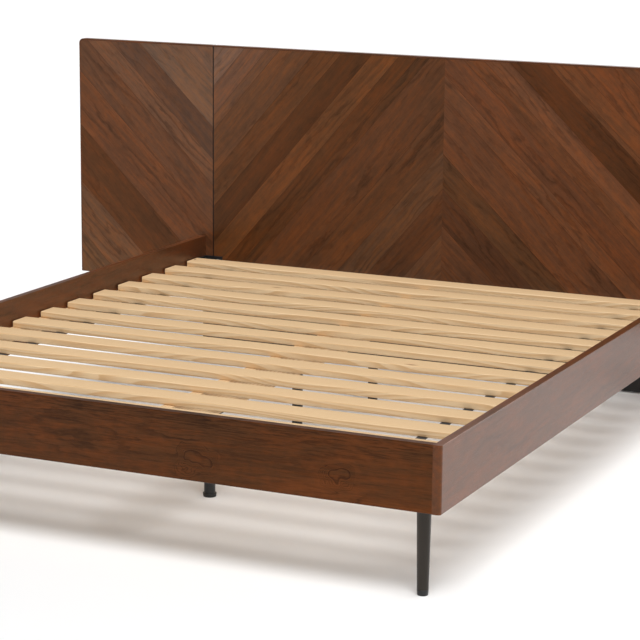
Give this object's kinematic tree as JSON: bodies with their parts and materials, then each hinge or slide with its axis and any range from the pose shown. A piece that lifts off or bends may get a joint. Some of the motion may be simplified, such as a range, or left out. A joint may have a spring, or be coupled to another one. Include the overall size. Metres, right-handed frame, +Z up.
{
  "type": "wooden bed frame",
  "caption": "Low walnut platform bed: chevron-veneered headboard with wings, plain board rails, slats on a centre beam, tapered dark metal legs with screw-in glides",
  "frame": {"origin": "on the floor, under the middle of the whole bed's bounding box", "axes": "+X to the right across the bed as seen from its foot, along the headboard's length; +Y from the foot to the headboard; +Z up from the floor"},
  "size_m": [2.524, 2.108, 0.96],
  "materials": {
    "walnut_veneer": "walnut leaves laid in chevrons, satin lacquer",
    "walnut_board": "solid walnut boards, satin oil",
    "walnut_lipping": "dark stained walnut edging",
    "black_board": "board painted matt black",
    "pine": "planed pine, bare",
    "beech": "fluted beech dowels",
    "zinc": "zinc-plated steel",
    "black_steel": "black powder coat",
    "bronze_steel": "dark bronze satin coat",
    "black_plastic": "moulded black plastic",
    "black_rubber": "moulded rubber",
    "webbing": "woven polyester tape",
    "felt": "pressed felt"
  },
  "bodies": {
    "bed": {"centre_panel": "walnut_veneer", "left_wing": "walnut_veneer", "right_wing": "walnut_veneer", "centre_lipping": "walnut_lipping", "left_wing_lipping": "walnut_lipping", "right_wing_lipping": "walnut_lipping", "left_seam_strip": "black_board", "right_seam_strip": "black_board", "base_board": "black_board", "left_post": "black_board", "right_post": "black_board", "upper_crossbar": "black_board", "lower_crossbar": "black_board", "left_wing_battens": "black_board", "right_wing_battens": "black_board", "splice_plates": "zinc", "headboard_screws": "zinc", "plate_screws": "zinc", "wall_bumpers": "black_rubber", "post_pads": "felt", "left_side_rail": "walnut_board", "right_side_rail": "walnut_board", "foot_rail": "walnut_board", "corner_dowels": "beech", "rail_inserts": "zinc", "left_corner_bracket": "black_steel", "right_corner_bracket": "black_steel", "left_head_bracket": "black_steel", "right_head_bracket": "black_steel", "bracket_bolts": "zinc", "head_bolts": "zinc", "head_washers": "zinc", "head_nuts": "zinc", "left_foot_leg": "bronze_steel", "right_foot_leg": "bronze_steel", "leg_screws": "zinc", "left_cleat": "pine", "right_cleat": "pine", "cleat_screws": "zinc", "centre_beam": "pine", "foot_beam_hanger": "black_steel", "head_beam_hanger": "black_steel", "hanger_screws": "zinc", "foot_beam_leg": "black_steel", "middle_beam_leg": "black_steel", "head_beam_leg": "black_steel", "beam_leg_screws": "zinc", "slats": "pine", "slat_screws": "zinc", "slat_straps": "webbing", "strap_staples": "zinc"},
    "left_leg_glide": {"left_leg_glide": "black_plastic"},
    "right_leg_glide": {"right_leg_glide": "black_plastic"},
    "foot_beam_glide": {"foot_beam_glide": "black_plastic"},
    "middle_beam_glide": {"middle_beam_glide": "black_plastic"},
    "head_beam_glide": {"head_beam_glide": "black_plastic"}
  },
  "joints": [
    {"name": "left_leg_glide_screw", "type": "slide", "parent": "bed", "child": "left_leg_glide", "axis": [0, 0, -1], "range_m": [0, 0.012]},
    {"name": "right_leg_glide_screw", "type": "slide", "parent": "bed", "child": "right_leg_glide", "axis": [0, 0, -1], "range_m": [0, 0.012]},
    {"name": "foot_beam_glide_screw", "type": "slide", "parent": "bed", "child": "foot_beam_glide", "axis": [0, 0, -1], "range_m": [0, 0.02]},
    {"name": "middle_beam_glide_screw", "type": "slide", "parent": "bed", "child": "middle_beam_glide", "axis": [0, 0, -1], "range_m": [0, 0.02]},
    {"name": "head_beam_glide_screw", "type": "slide", "parent": "bed", "child": "head_beam_glide", "axis": [0, 0, -1], "range_m": [0, 0.02]}
  ]
}
